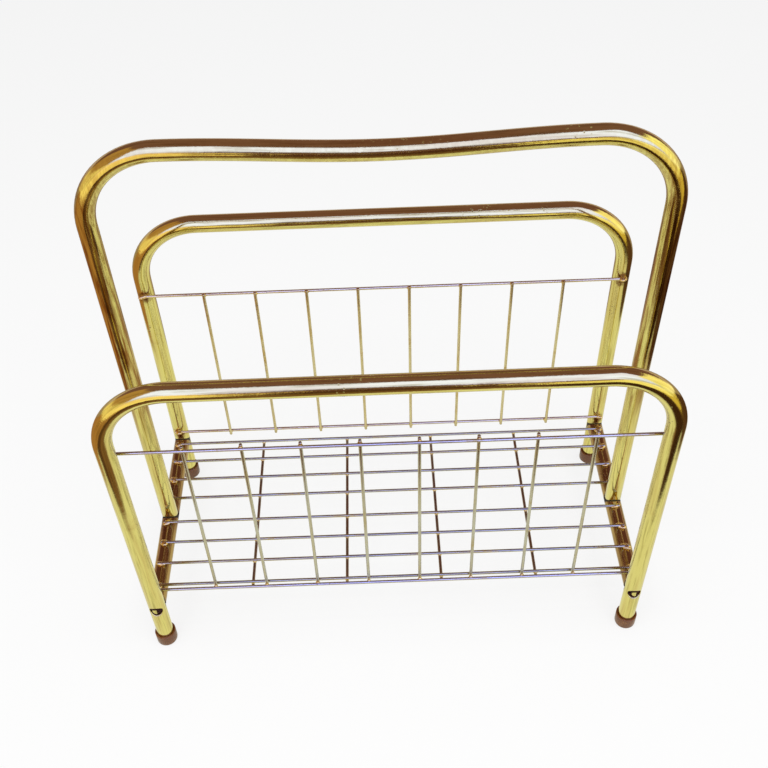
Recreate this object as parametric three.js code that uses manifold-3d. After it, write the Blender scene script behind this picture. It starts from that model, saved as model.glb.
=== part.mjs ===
// Magazine rack of bent brass-plated tube and welded wire.
//
// Three upside-down U frames of the same tube stand in a row. The front and rear frames reach the
// floor on cap feet. The taller handle frame stands between them, on two side rails that join the
// front legs to the rear legs. Eight long wires and four cross wires make the base, and a grid of
// wires closes the front and the rear. Screws through the legs and the rails hold it together.
//
// Millimetres. +X is to the right, +Y to the rear, +Z up. The origin is on the floor, at the centre.

import * as THREE from 'three';
import { mergeVertices } from 'three/addons/utils/BufferGeometryUtils.js';
import Module from 'manifold-3d';

const wasm = await Module();
wasm.setup();

// ---------------------------------------------------------------- driving dimensions

const tube = {
  radius: 6.35,
  wall: 1,
  sides: 20,
  boreSides: 12,
};

const frame = {
  legSpacing: 357,
  frontToRear: 167.5,
  topHeight: 271,
  bendRadius: 47,
  bendSteps: 8,
};

const handle = {
  topHeight: 382.5,
  bendRadius: 50.5,
  dip: 5,
  dipSteps: 12,
};

const rail = {
  height: 45.5,
};

const wire = {
  radius: 1.15,
  sides: 12,
  pastTube: 2.6,
};

const base = {
  wiresPerSide: 4,
  fromHandle: 4.5,
  fromLegs: 5.5,
  crossWires: 4,
  crossFromLeg: 72,
  crossTip: 2.5,
};

// The front panel hangs a little lower than the rear one.
const panel = {
  topBelowBar: { front: 61.5, rear: 58.5 },
  bottomAboveBase: { front: 1.4, rear: 9.4 },
  uprights: 8,
  firstFromLeg: 44.8,
  uprightTip: 0.85,
};

const foot = {
  height: 11.5,
  base: 2.5,
  wall: 1.4,
  bottomRounding: 2,
  rimChamfer: 0.5,
  roundingSteps: 3,
  sides: 24,
};

const screw = {
  shankRadius: 2.5,
  headHeight: 2.6,
  headRise: 1.1,
  grip: 11,
  recessWidth: 1.1,
  recessSpan: 4.6,
  recessDepth: 1.3,
  sides: 16,
};

const insert = {
  length: 15,
  sides: 16,
};

const fit = {
  cope: 0.3,
  weld: 0.1,
  footOnLeg: 0.1,
  legInFoot: 0.3,
  insertInTube: 0.12,
  shankInInsert: 0.15,
  shankInWall: 0.3,
  headInBore: 1.15,
  headUnderWall: 0.1,
  headThroughAccess: 0.55,
};

const cutterSides = 24;
const cutterOverrun = 2;

// ---------------------------------------------------------------- places worked out from them

const halfWidth = frame.legSpacing / 2;
const halfDepth = frame.frontToRear / 2;
const boreRadius = tube.radius - tube.wall;
// The bore's flats lie on its true radius, so that what fits in it clears them.
const boreCornerRadius = boreRadius / Math.cos(Math.PI / tube.boreSides);
const wireDiameter = 2 * wire.radius;

const headRadius = boreRadius - fit.headInBore;
const accessRadius = headRadius + fit.headThroughAccess;
// A flat screw head in a round bore bears on its two edges, short of the bore's wall.
const headSeat = Math.sqrt(boreRadius ** 2 - headRadius ** 2) - fit.headUnderWall;
const screwLength = tube.radius - headSeat + screw.grip;

const baseWireZ = rail.height + tube.radius + fit.weld + wire.radius;
const crossWireZ = baseWireZ - wireDiameter - fit.weld;
const innerBaseWireY = tube.radius + base.fromHandle + wire.radius;
const outerBaseWireY = halfDepth - tube.radius - base.fromLegs - wire.radius;

const panelWireY = halfDepth - tube.radius - fit.weld - wire.radius;
const uprightY = panelWireY - wireDiameter - fit.weld;

const ends = [{ name: 'front', side: -1 }, { name: 'rear', side: 1 }];
const flanks = [{ name: 'left', side: -1 }, { name: 'right', side: 1 }];
const corners = ends.flatMap((end) => flanks.map((flank) => ({
  name: `${end.name}_${flank.name}`,
  x: flank.side * halfWidth,
  y: end.side * halfDepth,
  out: end.side,
})));

// ---------------------------------------------------------------- finishes

const finishes = {
  tube: { color: 0xd9b23f, roughness: 0.16, metalness: 1 },
  wire: { color: 0xc9a352, roughness: 0.24, metalness: 1 },
  foot: { color: 0x7a3d14, roughness: 0.38, metalness: 0 },
  screw: { color: 0x4a3a38, roughness: 0.4, metalness: 1 },
  insert: { color: 0xa8a49a, roughness: 0.45, metalness: 1 },
};

const rack = new THREE.Group();

function place(name, geometry, finish) {
  const mesh = new THREE.Mesh(geometry, new THREE.MeshStandardMaterial(finish));
  mesh.name = name;
  rack.add(mesh);
  return mesh;
}

// ---------------------------------------------------------------- solids

function solidOf(geometry) {
  const bare = geometry.clone();
  bare.deleteAttribute('normal');
  bare.deleteAttribute('uv');
  const merged = mergeVertices(bare);
  return new wasm.Manifold(new wasm.Mesh({
    numProp: 3,
    vertProperties: new Float32Array(merged.attributes.position.array),
    triVerts: new Uint32Array(merged.index.array),
  }));
}

function geometryOf(solid) {
  const { vertProperties, triVerts } = solid.getMesh();
  const geometry = new THREE.BufferGeometry();
  geometry.setAttribute('position', new THREE.BufferAttribute(vertProperties, 3));
  geometry.setIndex(new THREE.BufferAttribute(triVerts, 1));
  geometry.computeVertexNormals();
  return geometry;
}

// A round bar from one point to another along an axis of the frame.
function bar(radius, from, to, sides) {
  const start = new THREE.Vector3(...from);
  const along = new THREE.Vector3(...to).sub(start);
  const geometry = new THREE.CylinderGeometry(radius, radius, along.length(), sides);
  const up = new THREE.Vector3(0, 1, 0);
  geometry.applyQuaternion(new THREE.Quaternion().setFromUnitVectors(up, along.clone().normalize()));
  geometry.translate(...start.addScaledVector(along, 1 / 2).toArray());
  return geometry;
}

function cutter(radius, from, to) {
  return solidOf(bar(radius, from, to, cutterSides));
}

function roundOutline(radius, sides) {
  return Array.from({ length: sides }, (_, i) => {
    const angle = (2 * Math.PI * i) / sides;
    return new THREE.Vector2(radius * Math.cos(angle), radius * Math.sin(angle));
  });
}

function tubeSection() {
  const section = new THREE.Shape(roundOutline(tube.radius, tube.sides));
  section.holes.push(new THREE.Path(roundOutline(boreCornerRadius, tube.boreSides)));
  return section;
}

// ---------------------------------------------------------------- bent tube frames

// A centre line that is walked from station to station: close steps in the bends, one on a straight.
class StationPath extends THREE.Curve {
  constructor(stations) {
    super();
    this.stations = stations;
  }

  stationAt(t) {
    return this.stations[Math.round(t * (this.stations.length - 1))];
  }

  getPointAt(t) {
    return this.stationAt(t).point.clone();
  }

  getTangentAt(t) {
    return this.stationAt(t).tangent.clone();
  }
}

function station(x, z, dx, dz) {
  return {
    point: new THREE.Vector3(x, 0, z),
    tangent: new THREE.Vector3(dx, 0, dz).normalize(),
  };
}

// The quarter bend from a leg into the top bar, or back from the top bar into a leg.
function bend(centreX, centreZ, radius, fromAngle) {
  return Array.from({ length: frame.bendSteps + 1 }, (_, i) => {
    const angle = fromAngle - (Math.PI / 2) * (i / frame.bendSteps);
    const x = centreX + radius * Math.cos(angle);
    const z = centreZ + radius * Math.sin(angle);
    return station(x, z, Math.sin(angle), -Math.cos(angle));
  });
}

// The inside stations of a top bar that dips in the middle by half a cosine wave each way.
function dippedBar(topHeight, halfLength, dip, steps) {
  return Array.from({ length: steps - 1 }, (_, i) => {
    const x = halfLength * ((2 * (i + 1)) / steps - 1);
    const phase = (Math.PI * x) / halfLength;
    const z = topHeight - (dip / 2) * (1 + Math.cos(phase));
    return station(x, z, 1, ((dip * Math.PI) / (2 * halfLength)) * Math.sin(phase));
  });
}

function bentTube(legEnd, topHeight, bendRadius, barStations) {
  const bendX = halfWidth - bendRadius;
  const bendZ = topHeight - bendRadius;
  const path = new StationPath([
    station(-halfWidth, legEnd, 0, 1),
    ...bend(-bendX, bendZ, bendRadius, Math.PI),
    ...barStations,
    ...bend(bendX, bendZ, bendRadius, Math.PI / 2),
    station(halfWidth, legEnd, 0, -1),
  ]);
  const steps = path.stations.length - 1;
  return solidOf(new THREE.ExtrudeGeometry(tubeSection(), { steps, extrudePath: path }));
}

// Each leg has a wide access hole in its outer wall and a screw hole in its inner wall.
function endFrame(out) {
  let solid = bentTube(foot.base + fit.legInFoot, frame.topHeight, frame.bendRadius, []);
  for (const { side } of flanks) {
    const x = side * halfWidth;
    const reach = tube.radius + cutterOverrun;
    const middle = [x, 0, rail.height];
    const outside = [x, out * reach, rail.height];
    const inside = [x, -out * reach, rail.height];
    solid = solid.subtract(cutter(accessRadius, middle, outside));
    solid = solid.subtract(cutter(screw.shankRadius + fit.shankInWall, middle, inside));
  }
  return geometryOf(solid);
}

// The handle frame's legs are coped to sit on top of the side rails.
function handleFrame() {
  const halfBar = halfWidth - handle.bendRadius;
  const dipped = dippedBar(handle.topHeight, halfBar, handle.dip, handle.dipSteps);
  let solid = bentTube(rail.height, handle.topHeight, handle.bendRadius, dipped);
  for (const { side } of flanks) {
    const x = side * halfWidth;
    const reach = tube.radius + cutterOverrun;
    const seat = cutter(tube.radius + fit.cope, [x, -reach, rail.height], [x, reach, rail.height]);
    solid = solid.subtract(seat);
  }
  return geometryOf(solid);
}

for (const { name, side } of ends) {
  place(`${name}_frame`, endFrame(side), finishes.tube).position.y = side * halfDepth;
}
place('handle_frame', handleFrame(), finishes.tube);

// ---------------------------------------------------------------- side rails

// A straight tube, coped at both ends to the legs, with the holes for its handle screw.
function sideRail(x) {
  const z = rail.height;
  const past = halfDepth + cutterOverrun;
  let solid = solidOf(bar(tube.radius, [x, -halfDepth, z], [x, halfDepth, z], tube.sides));
  solid = solid.subtract(solidOf(bar(boreCornerRadius, [x, -past, z], [x, past, z], tube.boreSides)));
  const reach = tube.radius + cutterOverrun;
  for (const { side } of ends) {
    const y = side * halfDepth;
    solid = solid.subtract(cutter(tube.radius + fit.cope, [x, y, z - reach], [x, y, z + reach]));
  }
  solid = solid.subtract(cutter(accessRadius, [x, 0, z - reach], [x, 0, z]));
  solid = solid.subtract(cutter(screw.shankRadius + fit.shankInWall, [x, 0, z], [x, 0, z + reach]));
  return geometryOf(solid);
}

for (const { name, side } of flanks) {
  place(`${name}_side_rail`, sideRail(side * halfWidth), finishes.tube);
}

// ---------------------------------------------------------------- screws and their inserts

// A pan-head screw along +Z. Its head's underside is at the origin and its shank points up.
function screwGeometry() {
  const crown = -screw.headHeight;
  const shoulder = crown + screw.headRise;
  const dome = new THREE.Vector2(headRadius * Math.SQRT1_2, crown + screw.headRise * (1 - Math.SQRT1_2));
  const profile = [
    new THREE.Vector2(0, crown),
    dome,
    new THREE.Vector2(headRadius, shoulder),
    new THREE.Vector2(headRadius, 0),
    new THREE.Vector2(screw.shankRadius, 0),
    new THREE.Vector2(screw.shankRadius, screwLength - screw.shankRadius / 2),
    new THREE.Vector2(screw.shankRadius / 2, screwLength),
    new THREE.Vector2(0, screwLength),
  ];
  const turned = new THREE.LatheGeometry(profile, screw.sides).rotateX(Math.PI / 2);
  let solid = solidOf(turned);
  const cut = screw.recessDepth + cutterOverrun;
  for (const [across, deep] of [[1, 0], [0, 1]]) {
    const width = across ? screw.recessSpan : screw.recessWidth;
    const depth = deep ? screw.recessSpan : screw.recessWidth;
    const slot = new THREE.BoxGeometry(width, depth, cut);
    slot.translate(0, 0, crown + screw.recessDepth - cut / 2);
    solid = solid.subtract(solidOf(slot));
  }
  return geometryOf(solid);
}

// A threaded plug along +Z, pressed into a tube's end. Its outer face is at the origin.
function insertGeometry() {
  const radius = boreRadius - fit.insertInTube;
  const plug = solidOf(bar(radius, [0, 0, 0], [0, 0, insert.length], insert.sides));
  const bore = cutter(
    screw.shankRadius + fit.shankInInsert,
    [0, 0, -cutterOverrun],
    [0, 0, insert.length + cutterOverrun],
  );
  return geometryOf(plug.subtract(bore));
}

const insertStart = tube.radius + fit.cope;

for (const corner of corners) {
  const inward = new THREE.Vector3(0, -corner.out, 0);
  const turn = new THREE.Quaternion().setFromUnitVectors(new THREE.Vector3(0, 0, 1), inward);
  const legScrew = place(`leg_screw_${corner.name}`, screwGeometry(), finishes.screw);
  legScrew.position.set(corner.x, corner.y - corner.out * headSeat, rail.height);
  legScrew.quaternion.copy(turn);
  const plug = place(`rail_insert_${corner.name}`, insertGeometry(), finishes.insert);
  plug.position.set(corner.x, corner.y - corner.out * insertStart, rail.height);
  plug.quaternion.copy(turn);
}

for (const { name, side } of flanks) {
  const x = side * halfWidth;
  const handleScrew = place(`handle_screw_${name}`, screwGeometry(), finishes.screw);
  handleScrew.position.set(x, 0, rail.height + headSeat);
  const plug = place(`handle_insert_${name}`, insertGeometry(), finishes.insert);
  plug.position.set(x, 0, rail.height + insertStart);
}

// ---------------------------------------------------------------- feet

// A cap foot: a cup with a rounded bottom edge that is pushed over the leg's end.
function footGeometry() {
  const bore = tube.radius + fit.footOnLeg;
  const outer = bore + foot.wall;
  const rounding = Math.min(foot.bottomRounding, foot.base, outer - cutterOverrun);
  const edge = Array.from({ length: foot.roundingSteps + 1 }, (_, i) => {
    const angle = (Math.PI / 2) * (i / foot.roundingSteps);
    const r = outer - rounding * (1 - Math.sin(angle));
    return new THREE.Vector2(r, rounding * (1 - Math.cos(angle)));
  });
  const profile = [
    new THREE.Vector2(0, 0),
    ...edge,
    new THREE.Vector2(outer, foot.height - foot.rimChamfer),
    new THREE.Vector2(outer - foot.rimChamfer, foot.height),
    new THREE.Vector2(bore, foot.height),
    new THREE.Vector2(bore, foot.base),
    new THREE.Vector2(0, foot.base),
  ];
  return geometryOf(solidOf(new THREE.LatheGeometry(profile, foot.sides).rotateX(Math.PI / 2)));
}

for (const corner of corners) {
  const cap = place(`foot_${corner.name}`, footGeometry(), finishes.foot);
  cap.position.set(corner.x, corner.y, 0);
}

// ---------------------------------------------------------------- base grid

const longWireReach = halfWidth + wire.pastTube;
const basePitch = (outerBaseWireY - innerBaseWireY) / (base.wiresPerSide - 1);

for (const { name, side } of ends) {
  for (let i = 0; i < base.wiresPerSide; i += 1) {
    const y = side * (innerBaseWireY + i * basePitch);
    const from = [-longWireReach, y, baseWireZ];
    const to = [longWireReach, y, baseWireZ];
    place(`base_wire_${name}_${i + 1}`, bar(wire.radius, from, to, wire.sides), finishes.wire);
  }
}

const crossReach = outerBaseWireY + base.crossTip;
const crossSpacing = (frame.legSpacing - 2 * base.crossFromLeg) / (base.crossWires - 1);

for (let i = 0; i < base.crossWires; i += 1) {
  const x = base.crossFromLeg + crossSpacing * i - halfWidth;
  const from = [x, -crossReach, crossWireZ];
  const to = [x, crossReach, crossWireZ];
  place(`base_cross_wire_${i + 1}`, bar(wire.radius, from, to, wire.sides), finishes.wire);
}

// ---------------------------------------------------------------- front and rear panels

const uprightSpacing = (frame.legSpacing - 2 * panel.firstFromLeg) / (panel.uprights - 1);
const uprightEnd = wire.radius + panel.uprightTip;

for (const { name, side } of ends) {
  const topZ = frame.topHeight - panel.topBelowBar[name];
  const bottomZ = baseWireZ + panel.bottomAboveBase[name];
  for (const [edge, z] of [['top', topZ], ['bottom', bottomZ]]) {
    const from = [-longWireReach, side * panelWireY, z];
    const to = [longWireReach, side * panelWireY, z];
    place(`${name}_panel_${edge}_wire`, bar(wire.radius, from, to, wire.sides), finishes.wire);
  }
  for (let i = 0; i < panel.uprights; i += 1) {
    const x = panel.firstFromLeg + uprightSpacing * i - halfWidth;
    const from = [x, side * uprightY, bottomZ - uprightEnd];
    const to = [x, side * uprightY, topZ + uprightEnd];
    place(`${name}_upright_${i + 1}`, bar(wire.radius, from, to, wire.sides), finishes.wire);
  }
}

export default rack;
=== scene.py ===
"""The looks of a brass magazine rack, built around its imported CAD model.

Every piece is in metres, with +X to the right, +Y to the rear and +Z up, and the origin on the
floor under the middle of the rack. Sizes come from the CAD nodes' own boxes wherever they can.
"""

import logging
import math
import random
from collections.abc import Callable, Iterator
from contextlib import contextmanager
from dataclasses import dataclass, field, replace
from enum import Enum

import bmesh
import bpy
from mathutils import Matrix, Vector


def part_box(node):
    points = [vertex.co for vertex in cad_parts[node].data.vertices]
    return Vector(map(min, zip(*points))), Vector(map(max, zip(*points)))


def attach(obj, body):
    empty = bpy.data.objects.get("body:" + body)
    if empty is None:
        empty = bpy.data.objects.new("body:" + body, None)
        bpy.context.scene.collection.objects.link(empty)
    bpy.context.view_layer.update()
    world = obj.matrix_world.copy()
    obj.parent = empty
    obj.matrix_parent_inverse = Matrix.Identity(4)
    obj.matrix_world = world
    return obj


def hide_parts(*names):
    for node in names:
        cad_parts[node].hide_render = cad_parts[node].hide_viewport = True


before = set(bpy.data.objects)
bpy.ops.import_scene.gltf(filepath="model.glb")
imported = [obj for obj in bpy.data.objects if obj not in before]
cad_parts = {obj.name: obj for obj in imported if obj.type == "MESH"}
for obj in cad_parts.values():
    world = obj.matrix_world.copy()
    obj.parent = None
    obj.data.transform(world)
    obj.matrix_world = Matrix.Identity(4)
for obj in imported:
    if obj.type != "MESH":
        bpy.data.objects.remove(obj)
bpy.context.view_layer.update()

BODY = "root"
MM = 0.001
HAIR = 0.1 * MM
DOUBLED = 0.001 * MM
QUARTER_TURN = math.pi / 2
GRAIN_SHIFT = 20.0
CUTTER_SIDES = 72
LIP_STEPS = 6
SHARP_EDGE = math.radians(35)
PANEL_EDGES = ("top", "bottom")
LOG = logging.getLogger("magazine_rack")

Colour = tuple[float, float, float]
Socket = bpy.types.NodeSocket


class Slot(Enum):
    """Names of material slots, one for each kind of modelled piece."""

    TUBE = "brass_tube"
    WIRE = "brass_wire"
    FOOT = "foot_cap"
    SCREW = "screw"


class End(Enum):
    """The two long faces of the rack, with the way each one faces along Y."""

    FRONT = -1
    REAR = 1

    @property
    def word(self) -> str:
        """The end's name as it stands in node names."""
        return self.name.lower()


class Flank(Enum):
    """The two short faces of the rack, with the way each one faces along X."""

    LEFT = -1
    RIGHT = 1

    @property
    def word(self) -> str:
        """The flank's name as it stands in node names."""
        return self.name.lower()


# ------------------------------------------------------------------------------ bench tools


def pick(*pieces: bpy.types.Object) -> None:
    """Makes these the only selected pieces, and the first one active.

    Args:
        pieces: the pieces that the next operator works on.
    """
    bpy.ops.object.select_all(action="DESELECT")
    for piece in pieces:
        piece.select_set(True)
    bpy.context.view_layer.objects.active = pieces[0]


@contextmanager
def editing(piece: bpy.types.Object, kind: str = "VERT") -> Iterator[None]:
    """Holds a piece in edit mode.

    Args:
        piece: the mesh to edit.
        kind: what is selected, VERT, EDGE or FACE.

    Yields:
        Nothing; the piece is in edit mode meanwhile.
    """
    pick(piece)
    bpy.ops.object.mode_set(mode="EDIT")
    bpy.ops.mesh.select_mode(type=kind)
    yield
    bpy.ops.object.mode_set(mode="OBJECT")


def choose(piece: bpy.types.Object, test: Callable[[Vector], bool], parts: str) -> None:
    """Selects the parts of a mesh in edit mode whose middle passes a test.

    Args:
        piece: the mesh, which is in edit mode.
        test: says whether a point, in the piece's own frame, is wanted.
        parts: edges or faces.
    """
    mesh = bmesh.from_edit_mesh(piece.data)
    for everything in (mesh.faces, mesh.edges, mesh.verts):
        for part in everything:
            part.select = False
    for part in getattr(mesh, parts):
        if test(sum((v.co for v in part.verts), Vector()) / len(part.verts)):
            part.select_set(True)
    bmesh.update_edit_mesh(piece.data)


def fresh(name: str) -> bpy.types.Object:
    """Names the primitive that was just added, and puts its place and turn into its mesh.

    Args:
        name: the piece's name.

    Returns:
        The piece, with its object at the origin.
    """
    piece = bpy.context.active_object
    piece.name = name
    piece.data.name = name
    settle(piece)
    return piece


def settle(piece: bpy.types.Object) -> None:
    """Puts a piece's place, turn and scale into its mesh."""
    pick(piece)
    bpy.ops.object.transform_apply(location=True, rotation=True, scale=True)


def copy_of(piece: bpy.types.Object, name: str, place: Matrix) -> bpy.types.Object:
    """Copies a finished piece, with a mesh of its own, and puts the copy in its place.

    Args:
        piece: the piece to copy.
        name: the copy's name.
        place: how the copy is moved and turned from where the piece is.

    Returns:
        The copy, with its object at the origin.
    """
    pick(piece)
    bpy.ops.object.duplicate(linked=False)
    made = bpy.context.active_object
    made.name = name
    made.data.name = name
    made.matrix_world = place
    settle(made)
    return made


def face_outwards(piece: bpy.types.Object) -> None:
    """Merges doubled points and turns every face of a closed mesh outwards.

    Args:
        piece: the mesh to set right.
    """
    with editing(piece):
        bpy.ops.mesh.select_all(action="SELECT")
        bpy.ops.mesh.remove_doubles(threshold=DOUBLED)
        bpy.ops.mesh.normals_make_consistent(inside=False)


def modify(piece: bpy.types.Object, kind: str, **settings: object) -> None:
    """Adds a modifier with the given settings, and applies it.

    Args:
        piece: the mesh to change.
        kind: the modifier's type, such as BEVEL.
        settings: the modifier's own settings.
    """
    pick(piece)
    modifier = piece.modifiers.new(kind.title(), kind)
    for key, value in settings.items():
        setattr(modifier, key, value)
    bpy.ops.object.modifier_apply(modifier=modifier.name)


def subtract(piece: bpy.types.Object, cutter: bpy.types.Object) -> None:
    """Cuts one mesh out of another, and throws the cutter away."""
    modify(piece, "BOOLEAN", operation="DIFFERENCE", solver="EXACT", object=cutter)
    bpy.data.objects.remove(cutter)


def drill(piece: bpy.types.Object, radius: float, start: Vector, end: Vector) -> None:
    """Cuts a round hole through a piece.

    Args:
        piece: the mesh to cut.
        radius: the hole's radius.
        start: one end of the cut, on its axis.
        end: the other end.
    """
    subtract(piece, round_bar("cutter", radius, start, end, CUTTER_SIDES))


def drill_with_lip(
    piece: bpy.types.Object, radius: float, start: Vector, along: Vector, tube: float, lip: float
) -> None:
    """Cuts a round hole in a tube's wall, its outer edge rounded over all the way round.

    Args:
        piece: the tube.
        radius: the hole's radius.
        start: where the cut starts, on the tube's middle line.
        along: the way out, as a unit vector.
        tube: the tube's radius.
        lip: the radius of the rounding.
    """
    depth = tube - lip
    cutter = round_bar("cutter", radius, start, start + along * depth, CUTTER_SIDES)
    with editing(cutter, "FACE"):
        choose(cutter, lambda point: (point - start).dot(along) > depth - HAIR, "faces")
        reach, width = 0.0, radius
        for step in range(1, LIP_STEPS + 1):
            angle = QUARTER_TURN * step / LIP_STEPS
            wider = radius + lip * (1 - math.cos(angle))
            move = along * (lip * math.sin(angle) - reach)
            bpy.ops.mesh.extrude_region_move(TRANSFORM_OT_translate={"value": move})
            bpy.ops.transform.resize(value=[wider / width] * 3)
            reach, width = lip * math.sin(angle), wider
        bpy.ops.mesh.extrude_region_move(TRANSFORM_OT_translate={"value": along * 2 * MM})
    for point in cutter.data.vertices:
        if (point.co - start).dot(along) > HAIR:
            aside = point.co.x - start.x
            point.co -= along * (tube - math.sqrt(tube**2 - aside**2))
    subtract(piece, cutter)


def lay_grain(piece: bpy.types.Object, unroll: Callable[[Vector], Vector]) -> None:
    """Notes at each point of a mesh where it lies across and along its own metal.

    Args:
        piece: the mesh.
        unroll: gives two distances across the metal and one along it.
    """
    grain = piece.data.attributes.new("grain", "FLOAT_VECTOR", "POINT")
    for point, note in zip(piece.data.vertices, grain.data):
        note.vector = unroll(point.co)


def soften(piece: bpy.types.Object, width: float, steps: int = 2) -> None:
    """Breaks every sharp edge of a piece with a small rounding.

    Args:
        piece: the mesh to change.
        width: how far the rounding reaches from the edge.
        steps: how many faces it is made of.
    """
    modify(
        piece,
        "BEVEL",
        width=width,
        segments=steps,
        limit_method="ANGLE",
        angle_limit=SHARP_EDGE,
        use_clamp_overlap=True,
    )


def smooth(piece: bpy.types.Object, angle: float = 40) -> None:
    """Shades a piece smooth, apart from edges sharper than an angle in degrees."""
    pick(piece)
    bpy.ops.object.shade_smooth_by_angle(angle=math.radians(angle))


def round_bar(
    name: str, radius: float, start: Vector, end: Vector, sides: int
) -> bpy.types.Object:
    """A plain round bar with flat ends.

    Args:
        name: the piece's name.
        radius: the bar's radius.
        start: the middle of its first end.
        end: the middle of its other end.
        sides: how many sides it has.

    Returns:
        The bar.
    """
    along = end - start
    bpy.ops.mesh.primitive_cylinder_add(
        vertices=sides,
        radius=radius,
        depth=along.length,
        location=(start + end) / 2,
        rotation=along.to_track_quat("Z", "Y").to_euler(),
    )
    return fresh(name)


# ------------------------------------------------------------------------------ sizes


@dataclass(frozen=True)
class Sizes:
    """The rack's sizes, read from the CAD nodes, with the few that no box can give."""

    half_width: float
    half_depth: float
    tube_radius: float
    bar_height: float
    handle_height: float
    leg_end: float
    rail_height: float
    wire_radius: float
    screw_head_radius: float
    panel_top: float
    panel_bottom: float
    tube_wall: float = 1.0 * MM
    bend_radius: float = 47 * MM
    handle_bend_radius: float = 50.5 * MM
    handle_dip: float = 5 * MM
    cope_gap: float = 0.3 * MM
    saddle_trim: float = 4.3 * MM
    access_clearance: float = 0.55 * MM
    shank_radius: float = 2.5 * MM
    shank_clearance: float = 0.3 * MM

    @property
    def handle_leg_end(self) -> float:
        """The height at which the handle's legs are cut off, either side of their saddles."""
        return self.rail_height + self.saddle_trim

    @property
    def access_radius(self) -> float:
        """The radius of the holes that the screw heads go in through."""
        return self.screw_head_radius + self.access_clearance

    @property
    def screw_hole_radius(self) -> float:
        """The radius of the holes that the screw shanks pass."""
        return self.shank_radius + self.shank_clearance

    @classmethod
    def from_frame(cls) -> "Sizes":
        """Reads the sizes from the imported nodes' boxes.

        Returns:
            The rack's sizes.
        """
        frame_low, frame_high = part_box("front_frame")
        handle_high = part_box("handle_frame")[1]
        rail_low, rail_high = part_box("left_side_rail")
        wire_low, wire_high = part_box("base_wire_front_1")
        head_low, head_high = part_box("leg_screw_front_left")
        heights = {
            edge: [sum(c.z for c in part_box(f"{end.word}_panel_{edge}_wire")) / 2 for end in End]
            for edge in PANEL_EDGES
        }
        radius = (frame_high.y - frame_low.y) / 2
        return cls(
            half_width=(frame_high.x - frame_low.x) / 2 - radius,
            half_depth=-(frame_high.y + frame_low.y) / 2,
            tube_radius=radius,
            bar_height=frame_high.z - radius,
            handle_height=handle_high.z - radius,
            leg_end=frame_low.z,
            rail_height=(rail_low.z + rail_high.z) / 2,
            wire_radius=(wire_high.z - wire_low.z) / 2,
            screw_head_radius=(head_high.x - head_low.x) / 2,
            panel_top=sum(heights["top"]) / len(End),
            panel_bottom=sum(heights["bottom"]) / len(End),
        )


# ------------------------------------------------------------------------------ node groups


class Wiring:
    """Adds and joins the nodes of one shader tree."""

    def __init__(self, tree: bpy.types.NodeTree) -> None:
        """Takes the tree to work on."""
        self.tree = tree

    def node(self, kind: str, **settings: object) -> bpy.types.Node:
        """Adds a node with the given settings.

        Args:
            kind: the node's type.
            settings: the node's own settings.

        Returns:
            The node.
        """
        made = self.tree.nodes.new(kind)
        for key, value in settings.items():
            setattr(made, key, value)
        return made

    def link(self, source: Socket, target: Socket) -> None:
        """Joins two sockets."""
        self.tree.links.new(source, target)

    def put(self, value: Socket | float | tuple[float, ...], target: Socket) -> None:
        """Joins a socket to the target, or writes a plain value there.

        Args:
            value: a socket, or what the target's own value becomes.
            target: the input to feed.
        """
        if isinstance(value, bpy.types.NodeSocket):
            self.link(value, target)
        else:
            target.default_value = value

    def maths(self, operation: str, first: Socket | float, second: Socket | float = 0.0) -> Socket:
        """Adds a Math node and returns its result.

        Args:
            operation: the node's operation, such as MULTIPLY.
            first: a socket or a number.
            second: a socket or a number.

        Returns:
            The node's output socket.
        """
        made = self.node("ShaderNodeMath", operation=operation)
        for target, value in zip(made.inputs, (first, second)):
            self.put(value, target)
        return made.outputs[0]

    def gap(self, first: Socket | float, second: Socket | float) -> Socket:
        """How far apart two values are, whichever is the larger."""
        return self.maths("ABSOLUTE", self.maths("SUBTRACT", first, second))

    def length(self, *parts: Socket) -> Socket:
        """The length of a line with the given parts at right angles.

        Args:
            parts: how far the line goes each way.

        Returns:
            The socket of its length.
        """
        total = self.maths("MULTIPLY", parts[0], parts[0])
        for part in parts[1:]:
            total = self.maths("ADD", total, self.maths("MULTIPLY", part, part))
        return self.maths("SQRT", total)

    def window(self, value: Socket, low: Socket | float, high: Socket | float) -> Socket:
        """Maps a value smoothly to 0 at low and 1 at high.

        Args:
            value: the value to map.
            low: where the result is 0, which may be the larger of the two.
            high: where the result is 1.

        Returns:
            The result's socket.
        """
        made = self.node("ShaderNodeMapRange", interpolation_type="SMOOTHSTEP")
        for name, given in (("Value", value), ("From Min", low), ("From Max", high)):
            self.put(given, made.inputs[name])
        return made.outputs["Result"]

    def tint(self, mask: Socket, under: Colour | Socket, over: Colour | Socket) -> Socket:
        """Mixes a colour over another by a mask.

        Args:
            mask: 1 where the upper colour covers the lower one.
            under: the lower colour.
            over: the upper colour.

        Returns:
            The socket of the mixed colour.
        """
        mix = self.node("ShaderNodeMix", data_type="RGBA")
        self.link(mask, mix.inputs["Factor"])
        for name, colour in (("A", under), ("B", over)):
            self.put(colour if isinstance(colour, Socket) else (*colour, 1), mix.inputs[name])
        return mix.outputs["Result"]

    def blend(self, base: Socket | float, mask: Socket, share: float) -> Socket:
        """Adds a share of a mask to a value.

        Args:
            base: the value where the mask is 0.
            mask: the mask.
            share: what is added where the mask is 1.

        Returns:
            The sum's socket.
        """
        return self.maths("ADD", base, self.maths("MULTIPLY", mask, share))

    def split(self, vector: Socket) -> tuple[Socket, Socket, Socket]:
        """Takes a vector apart.

        Args:
            vector: the vector's socket.

        Returns:
            The sockets of its three parts.
        """
        made = self.node("ShaderNodeSeparateXYZ")
        self.link(vector, made.inputs[0])
        return tuple(made.outputs)


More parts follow.
